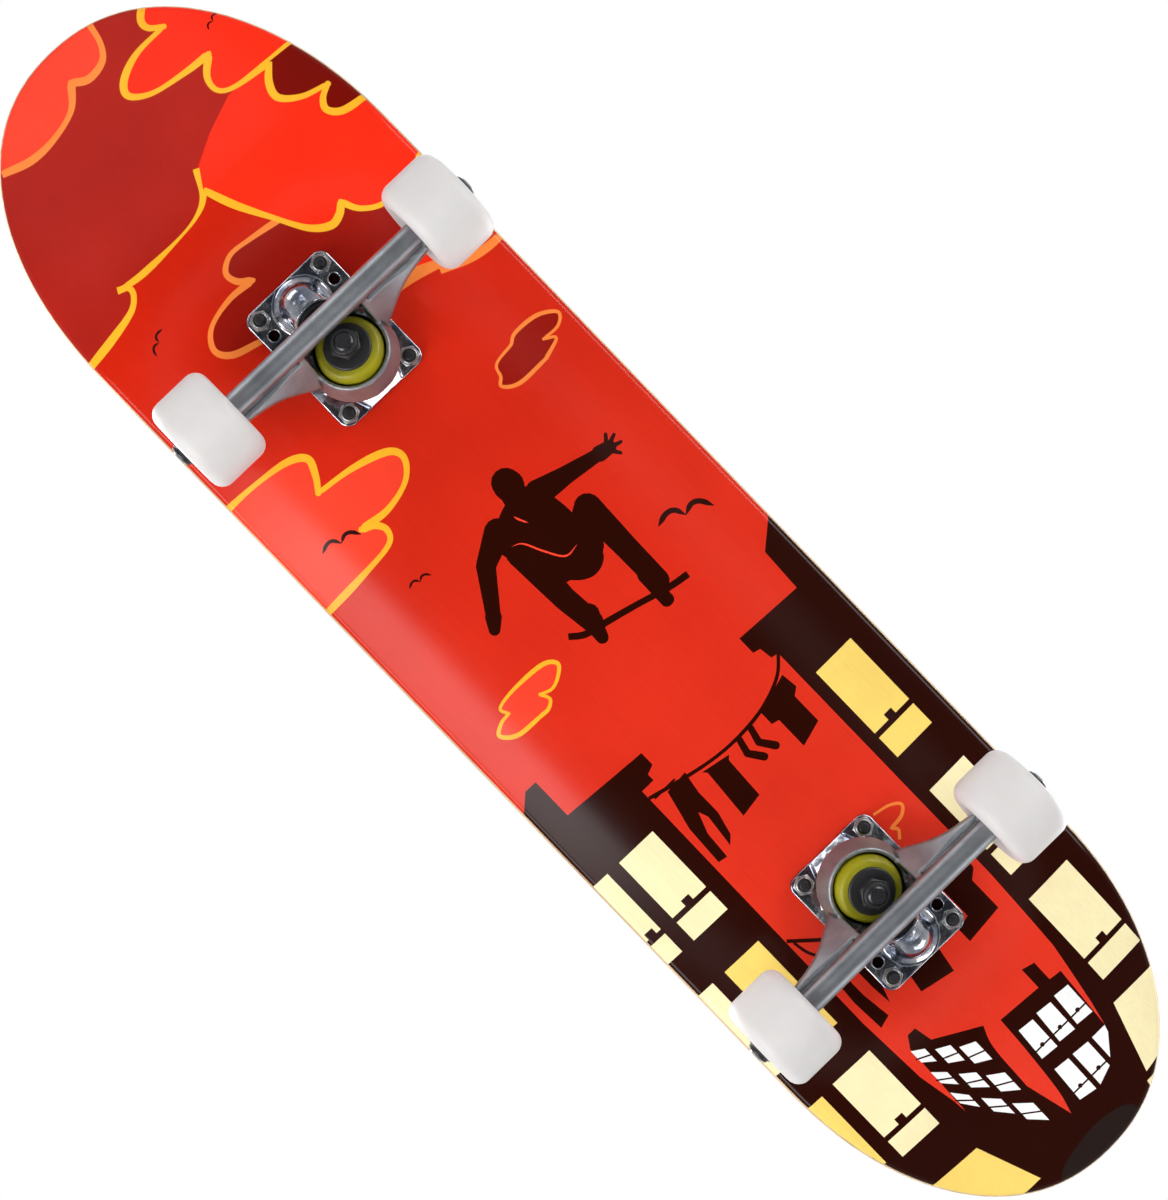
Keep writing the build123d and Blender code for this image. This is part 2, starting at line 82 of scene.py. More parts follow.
# Where things are on a truck, in millimetres: along the kingpin from the middle of the hanger's ring
# towards the road, and across the board along the axle
RING_HALF = 4.5
DECK_BUSHING = 12.5
ROAD_BUSHING = 9.5
KINGPIN_TILT = math.radians(12.0)
KINGPIN_RADIUS = 4.76
KINGPIN_NUT_TOP = 24.5
AXLE_NUT_TOP = 95.0
PLATE_MIDDLE = 0.6  # of the base plate, from the middle of its bolts
BOLT_SPACING_X = 63.5
BOLT_SPACING_Y = 41.3
SPARE_HOLE_X = 22.2  # of the base plate's second bolt pattern
SPARE_HOLE_RADIUS = 3.2
BUSHING_RADIUS = 17.0
BUSHING_NECK = 15.6  # the bushing's radius at its narrow end
BUSHING_GAP = 0.3  # between a bushing's bore and the kingpin
END_GAP = 0.1  # between a bushing's ends and what it sits between

# A wheel's section, in millimetres: radii, and distances from its middle
WHEEL_ROUNDING = 7.0
HUB_RADIUS = 16.2
HUB_FLOOR = 12.5
RACE_SEAT = 11.02
RACE_FACE = 12.4
RACE_STOP = 5.0
SPACER_BORE = 9.4

AREA_POWER = 4.0  # Cycles spreads an area light's watts over this many times its area

low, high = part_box("ply_4")
HALF_LENGTH = (high.x - low.x) / 2 / MM
HALF_WIDTH = (high.y - low.y) / 2 / MM
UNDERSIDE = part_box("ply_1")[0].z / MM
CONCAVE_RUN = HALF_WIDTH - FLAT_HALF
CONCAVE_RADIUS = (CONCAVE_RUN**2 + CONCAVE_RISE**2) / (2 * CONCAVE_RISE)


# ---------------- materials


class Nodes:
    """The node tree of a material or a world, with short ways to add to it."""

    def __init__(self, owner):
        owner.use_nodes = True
        self.tree = owner.node_tree

    def node(self, kind, **settings):
        made = self.tree.nodes.new(kind)
        for key, value in settings.items():
            setattr(made, key, value)
        return made

    def link(self, output, target):
        self.tree.links.new(output, target)

    def axis(self, vector, name):
        """The X, Y or Z of a vector."""
        made = self.node("ShaderNodeSeparateXYZ")
        self.link(vector, made.inputs[0])
        return made.outputs[name]

    def span(self, value, start, end, low=0.0, high=1.0):
        """A number that runs from low to high as value runs from start to end."""
        made = self.node("ShaderNodeMapRange")
        sockets = ("From Min", "From Max", "To Min", "To Max")
        for socket, number in zip(sockets, (start, end, low, high)):
            made.inputs[socket].default_value = number
        self.link(value, made.inputs["Value"])
        return made.outputs["Result"]

    def ramp(self, value, *stops):
        """A colour or grey that changes along value, from stops of (place, colour or grey)."""
        made = self.node("ShaderNodeValToRGB")
        elements = made.color_ramp.elements
        while len(elements) < len(stops):
            elements.new(0.5)
        for element, (place, colour) in zip(elements, stops):
            element.position = place
            element.color = (*colour, 1) if isinstance(colour, tuple) else (colour, colour, colour, 1)
        self.link(value, made.inputs["Fac"])
        return made.outputs["Color"]

    def choose(self, factor, first, second, output):
        """Shows the second surface where factor is 1, and the first one elsewhere."""
        made = self.node("ShaderNodeMixShader")
        for place, socket in enumerate((factor, first, second)):
            self.link(socket, made.inputs[place])
        self.link(made.outputs[0], self.tree.nodes[output].inputs["Surface"])


class Shader(Nodes):
    """A material under construction, with its Principled shader and its object coordinates."""

    def __init__(self, name, colour, roughness, metallic=0.0):
        self.material = bpy.data.materials.new(name)
        super().__init__(self.material)
        self.bsdf = self.tree.nodes["Principled BSDF"]
        self.coords = self.tree.nodes.new("ShaderNodeTexCoord").outputs["Object"]
        self.set("Base Color", (*colour, 1))
        self.set("Roughness", roughness)
        self.set("Metallic", metallic)
        self.normal = None

    def set(self, socket, value):
        self.bsdf.inputs[socket].default_value = value

    def stretched(self, stretch):
        mapping = self.node("ShaderNodeMapping")
        mapping.inputs["Scale"].default_value = stretch
        self.link(self.coords, mapping.inputs["Vector"])
        return mapping.outputs["Vector"]

    def noise(self, scale, detail=4.0, rough=0.55, stretch=(1, 1, 1), distortion=0.0):
        """Noise whose features are about 1/scale metres wide."""
        made = self.node("ShaderNodeTexNoise")
        made.inputs["Scale"].default_value = scale
        made.inputs["Detail"].default_value = detail
        made.inputs["Roughness"].default_value = rough
        made.inputs["Distortion"].default_value = distortion
        self.link(self.stretched(stretch), made.inputs["Vector"])
        return made.outputs["Fac"]

    def cells(self, scale):
        made = self.node("ShaderNodeTexVoronoi")
        made.inputs["Scale"].default_value = scale
        self.link(self.coords, made.inputs["Vector"])
        return made.outputs["Distance"]

    def mix(self, factor, first, second, blend="MIX"):
        """Mixes two colours. Each may be a socket or a plain colour, and the factor a socket or a number."""
        made = self.node("ShaderNodeMix", data_type="RGBA", blend_type=blend)
        for place, value in ((0, factor), (6, first), (7, second)):
            if isinstance(value, bpy.types.NodeSocket):
                self.link(value, made.inputs[place])
            elif isinstance(value, tuple):
                made.inputs[place].default_value = (*value, 1)
            else:
                made.inputs[place].default_value = value
        return made.outputs[2]

    def along_x(self, start, end, first, second):
        """A colour that turns from first to second as x goes from start to end, in metres."""
        return self.mix(self.span(self.axis(self.coords, "X"), start, end), first, second)

    def hollows(self, low, high):
        """0 in hollows and 1 on edges, from how sharply the mesh is bent."""
        bend = self.node("ShaderNodeNewGeometry").outputs["Pointiness"]
        return self.ramp(bend, (low, 0.0), (high, 1.0))

    def colour(self, output):
        self.link(output, self.bsdf.inputs["Base Color"])

    def roughness(self, value, low, high):
        """Roughness that runs from low to high as value runs from 0.3 to 0.7."""
        self.link(self.span(value, 0.3, 0.7, low, high), self.bsdf.inputs["Roughness"])

    def bump(self, height, depth, strength):
        """Adds relief of about depth metres, on top of any added before."""
        made = self.node("ShaderNodeBump")
        made.inputs["Distance"].default_value = depth
        made.inputs["Strength"].default_value = strength
        self.link(height, made.inputs["Height"])
        if self.normal is not None:
            self.link(self.normal, made.inputs["Normal"])
        self.normal = made.outputs["Normal"]
        self.link(self.normal, self.bsdf.inputs["Normal"])


def linear(red, green, blue):
    """A colour given as 0 to 255 screen values, as the shader wants it."""
    return tuple(
        (c / 255 / 12.92) if c < 10.3 else ((c / 255 + 0.055) / 1.055) ** 2.4 for c in (red, green, blue)
    )


def printed(name, colour):
    """Ink under clear lacquer, over the veneer's grain."""
    ink = Shader(f"print_{name}", colour, 0.45)
    cloud = ink.ramp(ink.noise(16.0, 4.0, 0.6), (0.3, 0.0), (0.7, 1.0))
    grain = ink.noise(900.0, 3.0, 0.6, stretch=(0.045, 1, 1))
    if name == "sky":
        plain = ink.along_x(-0.30, 0.26, *SKY_ENDS)
        dim = ink.mix(1.0, plain, (0.90, 0.82, 0.82), "MULTIPLY")
        tone = ink.mix(ink.mix(0.12, cloud, (0.5, 0.5, 0.5)), dim, plain)
    else:
        tone = ink.mix(cloud, tuple(c * 0.9 for c in colour), tuple(min(c * 1.06, 1.0) for c in colour))
    ink.colour(ink.mix(0.25, tone, ink.ramp(grain, (0.30, 0.80), (0.62, 1.0)), "MULTIPLY"))
    ink.bump(grain, 0.00002, 0.3)
    ink.set("Specular IOR Level", 0.0)
    ink.set("Coat Weight", 0.6)
    ink.set("Coat IOR", 1.36)
    ink.set("Coat Roughness", 0.16)
    return ink.material


def maple(name, tint, along):
    """Maple veneer with its grain along X or across it."""
    wood = Shader(name, (0.62, 0.42, 0.22), 0.5)
    stretch = (0.05, 1, 1) if along else (1, 0.05, 1)
    fibres = wood.noise(1500.0, 6.0, 0.65, stretch)
    bands = wood.noise(140.0, 3.0, 0.5, stretch, 0.6)
    pale = tuple(c * tint for c in (0.74, 0.54, 0.32))
    dark = tuple(c * tint for c in (0.47, 0.29, 0.14))
    base = wood.ramp(bands, (0.30, dark), (0.55, pale), (0.8, tuple(c * 0.9 for c in pale)))
    wood.colour(wood.mix(0.55, base, wood.ramp(fibres, (0.25, 0.55), (0.6, 1.0)), "MULTIPLY"))
    wood.roughness(fibres, 0.42, 0.62)
    wood.bump(fibres, 0.00006, 0.5)
    return wood.material


def grip():
    """Black abrasive grit with a few bright grains."""
    sand = Shader("grip_grit", (0.012, 0.012, 0.013), 0.92)
    grains = sand.cells(2600.0)
    fine = sand.noise(5200.0, 4.0, 0.7)
    wear = sand.noise(16.0, 4.0, 0.6)
    tone = sand.ramp(wear, (0.35, (0.010, 0.010, 0.011)), (0.70, (0.026, 0.026, 0.027)))
    spark = sand.ramp(fine, (0.66, 0.0), (0.74, 1.0))
    sand.colour(sand.mix(sand.mix(0.5, spark, (0, 0, 0)), tone, (0.30, 0.30, 0.31)))
    sand.bump(grains, 0.00035, 0.9)
    sand.bump(fine, 0.00012, 0.6)
    sand.roughness(fine, 0.95, 0.70)
    return sand.material


def steel(name, colour, low, high, grain=700.0):
    """Bright steel with a fine grain and duller patches."""
    metal = Shader(name, colour, low, 1.0)
    spots = metal.noise(grain, 4.0, 0.6)
    patches = metal.noise(70.0, 3.0, 0.5)
    dull = tuple(c * 0.78 for c in colour)
    metal.colour(metal.mix(metal.ramp(patches, (0.35, 0.0), (0.68, 1.0)), dull, colour))
    metal.roughness(spots, low, high)
    metal.bump(spots, 0.00002, 0.5)
    return metal.material


def polished_alloy():
    """Die-cast alloy polished bright, with the slow waves that polishing leaves and painted shade in its corners.
    """
    metal = Shader("polished_alloy", (0.72, 0.74, 0.78), 0.1, 1.0)
    waves = metal.noise(110.0, 2.0, 0.4)
    pits = metal.noise(1600.0, 4.0, 0.6)
    tone = metal.ramp(waves, (0.38, (0.30, 0.33, 0.42)), (0.60, (0.66, 0.68, 0.73)))
    tone = metal.mix(0.5, tone, metal.ramp(pits, (0.30, 0.72), (0.52, 1.0)), "MULTIPLY")
    # Painted shade: the corners and hollows are darkened in the colour
    metal.colour(metal.mix(metal.hollows(0.42, 0.50), (0.10, 0.10, 0.105), tone))
    metal.roughness(pits, 0.10, 0.22)
    metal.bump(waves, 0.0016, 0.5)
    metal.bump(pits, 0.00002, 0.4)
    return metal.material


def satin_alloy():
    """Tumbled casting: grey, soft, with tiny pores, painted shade in its creases and bright along its edges."""
    metal = Shader("satin_alloy", (0.32, 0.32, 0.34), 0.4, 1.0)
    pores = metal.noise(2400.0, 5.0, 0.65)
    patches = metal.noise(60.0, 3.0, 0.55)
    tone = metal.ramp(patches, (0.32, (0.27, 0.285, 0.31)), (0.68, (0.40, 0.42, 0.45)))
    tone = metal.mix(0.5, tone, metal.ramp(pores, (0.3, 0.62), (0.55, 1.0)), "MULTIPLY")
    # Painted shade: the creases are darkened in the colour
    tone = metal.mix(metal.hollows(0.47, 0.497), (0.030, 0.030, 0.034), tone)
    metal.colour(metal.mix(metal.hollows(0.52, 0.62), tone, (0.62, 0.62, 0.64)))
    metal.roughness(pores, 0.42, 0.56)
    metal.bump(pores, 0.00006, 0.45)
    return metal.material


def black_steel():
    """Blackened steel, worn bare in a few spots."""
    metal = Shader("black_steel", (0.020, 0.020, 0.022), 0.4)
    grain = metal.noise(900.0, 4.0, 0.6)
    wear = metal.noise(240.0, 5.0, 0.7)
    bare = metal.ramp(wear, (0.66, 0.0), (0.74, 1.0))
    metal.colour(metal.mix(bare, (0.018, 0.018, 0.020), (0.10, 0.10, 0.105)))
    metal.roughness(grain, 0.30, 0.52)
    metal.bump(grain, 0.00003, 0.5)
    return metal.material


def urethane(name, colour, shade, sink, depth, low, high):
    """Cast urethane: slightly translucent, with soft mottling and a faint moulded skin."""
    body = Shader(name, colour, low)
    mottle = body.noise(55.0, 4.0, 0.6)
    skin = body.noise(1500.0, 3.0, 0.6)
    body.colour(body.mix(body.ramp(mottle, (0.34, 0.0), (0.70, 1.0)), shade, colour))
    body.roughness(skin, low, high)
    body.bump(skin, 0.00003, 0.4)
    body.set("Subsurface Weight", sink)
    body.set("Subsurface Radius", (1.0, 0.85, 0.7))
    body.set("Subsurface Scale", depth)
    return body.material


def make_materials():
    return {
        "grip": grip(),
        "zinc_steel": steel("zinc_steel", (0.60, 0.61, 0.63), 0.22, 0.42),
        "dark_steel": steel("dark_steel", (0.11, 0.11, 0.12), 0.25, 0.45),
        "bearing_steel": steel("bearing_steel", (0.72, 0.73, 0.75), 0.12, 0.28, 1400.0),
        "black_steel": black_steel(),
        "polished_alloy": polished_alloy(),
        "satin_alloy": satin_alloy(),
        "bushing_urethane": urethane(
            "bushing_urethane", (0.36, 0.33, 0.006), (0.25, 0.23, 0.004), 0.25, 0.002, 0.28, 0.46
        ),
        "wheel_urethane": urethane(
            "wheel_urethane", (0.69, 0.67, 0.665), (0.66, 0.64, 0.635), 0.4, 0.003, 0.34, 0.5
        ),
        "pivot_rubber": urethane(
            "pivot_rubber", (0.02, 0.02, 0.02), (0.012, 0.012, 0.012), 0.0, 0.001, 0.5, 0.75
        ),
        "maple_long": maple("maple_long", 1.0, True),
        "maple_cross": maple("maple_cross", 0.82, False),
    }


# ---------------- deck surface


def deck_height(x, y, h):
    """Height in millimetres of the deck's layer h above its underside, over the points x, y."""
    run = np.maximum(np.abs(y) - FLAT_HALF, 0)
    section = CONCAVE_RADIUS - np.sqrt((CONCAVE_RADIUS - h) ** 2 - run**2)
    past = np.where(x > NOSE_BEND, x - NOSE_BEND, np.where(x < TAIL_BEND, TAIL_BEND - x, 0))
    radius = BEND_RADIUS - section
    bent = BEND_RADIUS - np.sqrt(radius**2 - np.minimum(past, radius * math.sin(KICK)) ** 2)
    straight = np.maximum(past - radius * math.sin(KICK), 0) * math.tan(KICK)
    return UNDERSIDE + bent + straight


def inset_of(x, y):
    """How far inside the deck's outline each point lies, along the family of inset outlines."""
    reach = np.maximum(np.abs(x) - (HALF_LENGTH - END_LENGTH), 0)
    low = np.full(len(x), -5.0)
    high = np.minimum(END_LENGTH - reach, HALF_WIDTH - np.abs(y)) - 1e-6
    for _ in range(40):  # each pass halves the range that the inset lies in
        middle = (low + high) / 2
        along = (reach / (END_LENGTH - middle)) ** END_POWER
        across = (np.abs(y) / (HALF_WIDTH - middle)) ** END_POWER
        outside = along + across > 1
        high = np.where(outside, middle, high)
        low = np.where(outside, low, middle)
    return np.where(reach > 0, low, HALF_WIDTH - np.abs(y))


def outline(inset, steps=56):
    """The deck's outline moved in by inset, counter-clockwise, in millimetres."""
    half = HALF_WIDTH - inset
    root = HALF_LENGTH - END_LENGTH
    points = []
    for side in (1, -1):
        for step in range(steps + 1):
            turn = math.pi * (step / steps - 0.5)
            reach = (END_LENGTH - inset) * max(math.cos(turn), 0) ** (2 / END_POWER)
            across = half * abs(math.sin(turn)) ** (2 / END_POWER) * (1 if turn > 0 else -1)
            points.append((side * (root + reach), side * across))
        points += [(side * root * (1 - 2 * step / steps), side * half) for step in range(1, steps)]
    return points


def edge_inset(depth):
    """How far the rounded edge has come in at this depth below the deck's nearer face."""
    if depth >= EDGE_ROUND:
        return 0.0
    return EDGE_ROUND - math.sqrt(EDGE_ROUND**2 - (EDGE_ROUND - depth) ** 2)


def round_over(inset):
    """How far the deck's face has turned away from itself at this inset."""
    gone = np.clip(EDGE_ROUND - inset, 0, EDGE_ROUND)
    return EDGE_ROUND - np.sqrt(EDGE_ROUND**2 - gone**2)


def piece(name, vertices, faces, material=None):
    """A new mesh piece from points in metres."""
    mesh = bpy.data.meshes.new(name)
    mesh.from_pydata([tuple(v) for v in vertices], [], faces)
    mesh.update()
    made = bpy.data.objects.new(name, mesh)
    bpy.context.scene.collection.objects.link(made)
    if material is not None:
        mesh.materials.append(material)
    return made


def finished(thing, merge=0.0):
    """Joins points closer than merge metres, faces the mesh outwards and smooths all but its sharp edges."""
    work = bmesh.new()
    work.from_mesh(thing.data)
    if merge:
        bmesh.ops.remove_doubles(work, verts=work.verts, dist=merge)
    bmesh.ops.recalc_face_normals(work, faces=work.faces)
    work.to_mesh(thing.data)
    work.free()
    thing.data.shade_smooth()
    thing.data.set_sharp_from_angle(angle=SHARP)
    return thing


def within(points, ring):
    """Which of the points lie inside the ring, by its winding number."""
    ring = np.array(ring)
    low, high = ring.min(axis=0), ring.max(axis=0)
    near = np.flatnonzero(((points >= low) & (points <= high)).all(axis=1))
    x, y = points[near, 0], points[near, 1]
    turns = np.zeros(len(near), int)
    for (ax, ay), (bx, by) in zip(ring, np.roll(ring, -1, axis=0)):
        side = (bx - ax) * (y - ay) - (x - ax) * (by - ay)
        turns += ((ay <= y) & (by > y) & (side > 0)).astype(int)
        turns -= ((ay > y) & (by <= y) & (side < 0)).astype(int)
    inside = np.zeros(len(points), bool)
    inside[near[turns != 0]] = True
    return inside


def divided(ring, longest):
    """The closed line with points added, so that it follows the deck's curve when it is laid on it."""
    points = []
    for start, end in zip(ring, [*ring[1:], ring[0]]):
        steps = max(math.ceil(math.dist(start, end) / longest), 1)
        for step in range(steps):
            share = step / steps
            points.append((start[0] + (end[0] - start[0]) * share, start[1] + (end[1] - start[1]) * share))
    return points


def filled(outer, lines, holes, spacing):
    """Triangles inside the outer ring, less the holes, that keep to the closed lines."""
    points = []
    edges = []
    for ring in (outer, *lines, *holes):
        ring = divided(ring, spacing)
        start = len(points)
        points += ring
        edges += [(start + i, start + (i + 1) % len(ring)) for i in range(len(ring))]
    shape = np.array(outer)
    xs = np.arange(shape[:, 0].min(), shape[:, 0].max(), spacing) + spacing / 2
    ys = np.arange(shape[:, 1].min(), shape[:, 1].max(), spacing) + spacing / 2
    grid = np.array([(x, y + (i % 2) * spacing / 2) for i, x in enumerate(xs) for y in ys])
    edge = inset_of(shape[:1, 0], shape[:1, 1])[0]
    grid = grid[inset_of(grid[:, 0], grid[:, 1]) > edge + spacing * 0.4]
    points += [tuple(p) for p in grid]
    result = delaunay_2d_cdt([Vector(p) for p in points], edges, [], 0, 1e-5)
    flat = np.array([tuple(v) for v in result[0]])
    triangles = np.array([face for face in result[2] if len(face) == 3])
    middles = flat[triangles].mean(axis=1)
    open_air = np.any([within(middles, hole) for hole in holes], axis=0)
    return flat, triangles[within(middles, outer) & ~open_air]


def plate_middle(end, side):
    """Where the middle of a base plate's bolts is along the board, in millimetres."""
    low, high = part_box(f"{end}_baseplate")
    return (low.x + high.x) / 2 / MM - side * PLATE_MIDDLE


def bolt_places():
    """The middle of each deck bolt, in millimetres."""
    places = []
    for end, side in (("front", 1), ("rear", -1)):
        middle = plate_middle(end, side)
        for x in (-BOLT_SPACING_X / 2, BOLT_SPACING_X / 2):
            for y in (-BOLT_SPACING_Y / 2, BOLT_SPACING_Y / 2):
                places.append((middle + x, y))
    return places


def circle(x, y, radius, steps):
    turns = [2 * math.pi * step / steps for step in range(steps)]
    return [(x + radius * math.cos(turn), y + radius * math.sin(turn)) for turn in turns]


def bolt_rings(radius):
    """A small ring round each deck bolt."""
    return [circle(x, y, radius, 20) for x, y in bolt_places()]


def make_ply(number, material):
    """One veneer with its share of the deck's rounded edge. The print closes the lowest one's underside."""
    low = (number - 1) * PLY
    high = number * PLY
    holes = bolt_rings(BOLT_HOLE)
    vertices = []
    faces = []

    def add(points, height):
        start = len(vertices)
        points = np.array(points)
        z = deck_height(points[:, 0], points[:, 1], height)
        vertices.extend((x * MM, y * MM, h * MM) for (x, y), h in zip(points, z))
        return start

    def join(below, above, count):
        for i in range(count):
            j = (i + 1) % count
            faces.append([below + i, below + j, above + j, above + i])

    for level in ([high] if number == 1 else [low, high]):
        ring = outline(edge_inset(min(level, DECK_TOP - level)))
        flat, triangles = filled(ring, [], holes, VENEER_SPACING)
        start = add(flat, level)
        faces.extend([start + int(v) for v in triangle] for triangle in triangles)
    first = float(round_over(PRINT_EDGE)) if number == 1 else low
    rings = []
    for level in np.linspace(first, high, EDGE_LEVELS):
        ring = outline(edge_inset(min(level, DECK_TOP - level)))
        rings.append(add(ring, level))
    for below, above in zip(rings, rings[1:]):
        join(below, above, len(ring))
    for hole in holes:
        join(add(hole, low), add(hole, high), len(hole))
    made = finished(piece(f"veneer_{number}", vertices, faces, material), 2e-6)
    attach(made, "deck")
    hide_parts(f"ply_{number}")


# ---------------- printed picture
# The picture is flat shapes in layers, given in millimetres on the deck: x towards the nose, y to the
# left. Each shape is (colour, outline), and a later one covers an earlier one.

INKS = {
    "sky": linear(222, 50, 28),
    "night": linear(172, 34, 25),
    "ember": linear(152, 24, 14),
    "deep": linear(120, 13, 4),
    "bright": linear(254, 46, 22),
    "rose": linear(252, 68, 46),
    "yellow": linear(255, 182, 44),
    "orange": linear(255, 138, 62),
    "wall": linear(42, 9, 3),
    # shade is the greyer ink of a painted haze of reflected light over the tail's tip
    "shade": linear(38, 27, 24),
    "amber": linear(254, 216, 112),
    "glow": linear(254, 238, 188),
    "white": linear(252, 251, 249),
}
SKY_ENDS = (linear(232, 58, 38), linear(206, 36, 14))  # towards the tail, and towards the nose


def curve(points, closed=False, steps=7):
    """A smooth line through the points. A point given as (x, y, 1) is a sharp corner."""
    runs = [[]]
    for point in points:
        runs[-1].append(np.array(point[:2], float))
        if len(point) == 3:
            runs.append([np.array(point[:2], float)])
    if closed:
        runs[-1].append(np.array(points[0][:2], float))
    line = []
    for run in runs:
        loop = closed and len(runs) == 1
        for i in range(len(run) - 1):
            before = run[i - 1] if i else (run[-2] if loop else 2 * run[0] - run[1])
            after = run[i + 2] if i + 2 < len(run) else (run[1] if loop else 2 * run[-1] - run[-2])
            a, b = run[i], run[i + 1]
            for step in range(steps):
                t = step / steps
                bend = (b - before) / 2 * (t - 2 * t**2 + t**3) + (after - a) / 2 * (t**3 - t**2)
                line.append(tuple(a + (b - a) * (3 * t**2 - 2 * t**3) + bend))
    if not closed:
        line.append(tuple(runs[-1][-1] if runs[-1] else runs[-2][-1]))
    return line


def stroke(colour, line, width, closed=False, taper=0.35, fade=False):
    """A brush line as a chain of quads that swells and thins along its way, and may thin out at its ends."""
    points = np.array(line, float)
    if closed:
        points = np.vstack([points, points[:1]])
    steps = np.diff(points, axis=0)
    steps /= np.maximum(np.linalg.norm(steps, axis=1), 1e-9)[:, None]
    ahead = np.vstack([steps[:1], steps[:-1] + steps[1:], steps[-1:]])
    if closed:
        ahead[0] = ahead[-1] = steps[0] + steps[-1]
    ahead /= np.maximum(np.linalg.norm(ahead, axis=1), 1e-9)[:, None]
    aside = np.column_stack([-ahead[:, 1], ahead[:, 0]])
    along = np.concatenate([[0], np.cumsum(np.linalg.norm(np.diff(points, axis=0), axis=1))])
    swell = 1 - taper / 2 + taper / 2 * np.sin(along / 9.0)
    if fade:
        swell *= np.clip(np.minimum(along, along[-1] - along) / (along[-1] * 0.25) + 0.15, 0, 1)
    half = (width / 2 * swell)[:, None]
    left, right = points + aside * half, points - aside * half
    quads = [
        (colour, [tuple(left[i]), tuple(right[i]), tuple(right[i + 1]), tuple(left[i + 1])])
        for i in range(len(points) - 1)
    ]
    sharp = [i for i in range(1, len(steps)) if steps[i] @ steps[i - 1] < 0.5]
    return quads + [dot(colour, *points[i], width / 2 * 0.8, 8) for i in sharp]


def dot(colour, x, y, radius, steps=14):
    return (colour, circle(x, y, radius, steps))


def bar(colour, start, end, width, last=None):
    """A straight bar with square ends, as wide at its end as at its start unless last says otherwise."""
    ax, ay = start
    bx, by = end
    last = width if last is None else last
    length = math.hypot(bx - ax, by - ay)
    nx, ny = -(by - ay) / length / 2, (bx - ax) / length / 2
    corners = [(ax + nx * width, ay + ny * width), (bx + nx * last, by + ny * last)]
    corners += [(bx - nx * last, by - ny * last), (ax - nx * width, ay - ny * width)]
    return (colour, corners)


def pane(colour, x0, x1, y0, y1):
    return (colour, [(x0, y0), (x1, y0), (x1, y1), (x0, y1)])


def cloud(fill, line, edge, width, rest=()):
    """A cloud: its brush line, and its fill, which the points in rest close off where the line is open."""
    drawn = curve(edge, closed=not rest)
    return [(fill, drawn + list(rest)), *stroke(line, drawn, width, not rest)]


def sky_shapes():
    shapes = []
    # The dark end of the sky and its edge
    near = curve([(254, -99), (256, -80), (259, -64), (264, -57), (269, -56), (272, -61)])
    far = curve([(271, -59), (269, -46), (269, -26), (271, -8), (277, 3), (290, 10)])
    shapes.append(("night", near + far + [(298, 26), (306, 48), (306, 99), (400, 99), (400, -99)]))
    shapes += stroke("yellow", near, 4.6) + stroke("yellow", far, 3.8, taper=0.6)
    # The cloud at the nose's tip
    tip = [(361, -62), (355, -46), (355, -30), (360, -14), (371, -4, 1), (366, 4), (368, 15), (376, 21)]
    tip.append((388, 24))
    shapes += cloud("rose", "orange", tip, 4.6, [(400, 20), (400, -62)])
    # The dark cloud beside the front truck
    side = [(203, -27), (208, -42), (216, -47), (225, -40), (229, -24), (228, -9, 1), (233, -15)]
    side = curve(side + [(240, -16), (245, -8), (244, 4), (241, 22)])
    shapes.append(("ember", side + [(224, 34), (221, 44), (225, 51), (210, 64), (196, 64), (196, -27)]))
    shapes += stroke("orange", side, 3.6)
    # The big bright cloud
    left = [(279, 5), (262, 11), (244, 20), (228, 29), (221, 38), (222, 45), (226, 50, 1), (217, 55)]
    left = curve(left + [(211, 66), (212, 84), (218, 99)])
    shapes.append(("bright", left + [(307, 99), (307, 48), (299, 28), (290, 12)]))
    shapes += stroke("yellow", left, 4.2)
    # The bright cloud on the nose's left
    right = [(306, 92), (306, 74), (308, 54), (313, 46), (322, 47), (331, 56, 1), (332, 42), (336, 22)]
    right += [(344, 12), (352, 16), (358, 30), (359, 50, 1), (364, 44), (370, 44), (377, 51)]
    shapes += cloud("bright", "yellow", right, 4.2, [(400, 60), (400, 99), (306, 99)])
    # A deep one in front of them
    deep = [(258, 99), (260, 84), (266, 78), (272, 81), (276, 88, 1), (280, 74), (288, 65), (297, 67)]
    deep.append((306, 75))
    shapes += cloud("deep", "yellow", deep, 4.2, [(305, 99)])
    # The rose cloud at the right rail
    rail = [(83, -99), (84, -72), (86, -52), (92, -47), (98, -50), (101, -56, 1), (99, -40), (103, -24)]
    rail += [(112, -16), (120, -20), (126, -38), (129, -59, 1), (136, -54), (145, -51), (151, -60)]
    rail += [(154, -80), (155, -99)]
    shapes += cloud("rose", "yellow", rail, 4.0, [(120, -99)])
    # Orange light at the left rail
    shapes += stroke("orange", curve([(160, 99), (160, 88), (162, 76), (167, 62)]), 4.6)
    shapes.append(("orange", curve([(168, 64), (172, 48), (174, 33, 1), (179, 42), (183, 62)])))
    shapes.append(("bright", [(173, 64), (177, 55), (181, 64)]))
    # Two small clouds in the open sky
    small = [(-28, -56), (-27, -71), (-21, -78), (-17, -73), (-16, -67, 1), (-11, -68), (-9, -56)]
    small += [(-10, -38), (-15, -32), (-20, -37), (-22, -43), (-20, -49, 1), (-25, -47), (-28, -51)]
    shapes += cloud("rose", "yellow", small, 2.4)
    dark = [(99, 70), (99, 52), (104, 44), (108, 47), (114, 50), (116, 62, 1), (119, 68), (118, 82)]
    dark += [(112, 91), (107, 86), (107, 76, 1), (103, 81)]
    shapes += cloud("ember", "orange", dark, 2.2)
    return shapes


